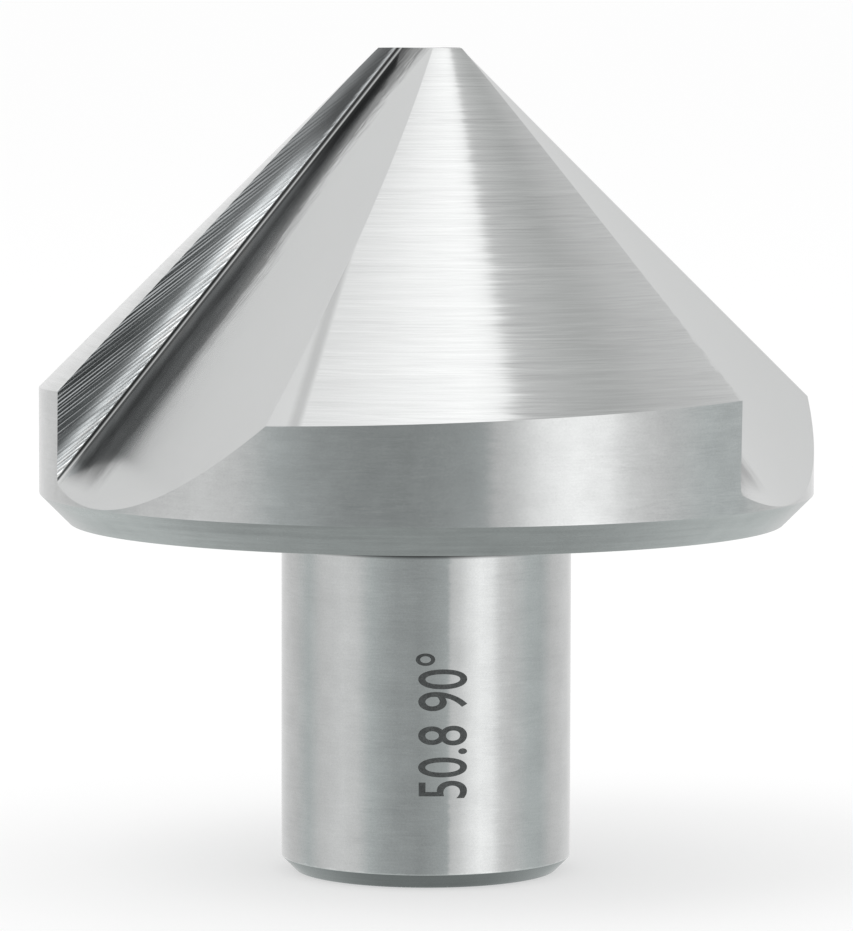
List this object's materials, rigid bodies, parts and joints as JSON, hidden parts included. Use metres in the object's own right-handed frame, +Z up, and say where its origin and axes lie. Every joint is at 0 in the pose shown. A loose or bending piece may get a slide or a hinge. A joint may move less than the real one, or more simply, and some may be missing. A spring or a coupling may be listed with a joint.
{
  "type": "countersink bit",
  "caption": "One-piece countersink with a 90 degree fluted cone, relieved lands, a straight band and a plain round shank.",
  "frame": {"origin": "centre of the shank's end face, on which the tool stands", "axes": "+Z up the tool's axis from the shank's end to the tip; -Y is the front, which the picture shows, with +X to its right"},
  "size_m": [0.0508, 0.0508, 0.054],
  "materials": {
    "ground_steel": "ground bright, with fine lines round the cone"
  },
  "bodies": {
    "root": {"countersink_body": "ground_steel"}
  },
  "joints": []
}
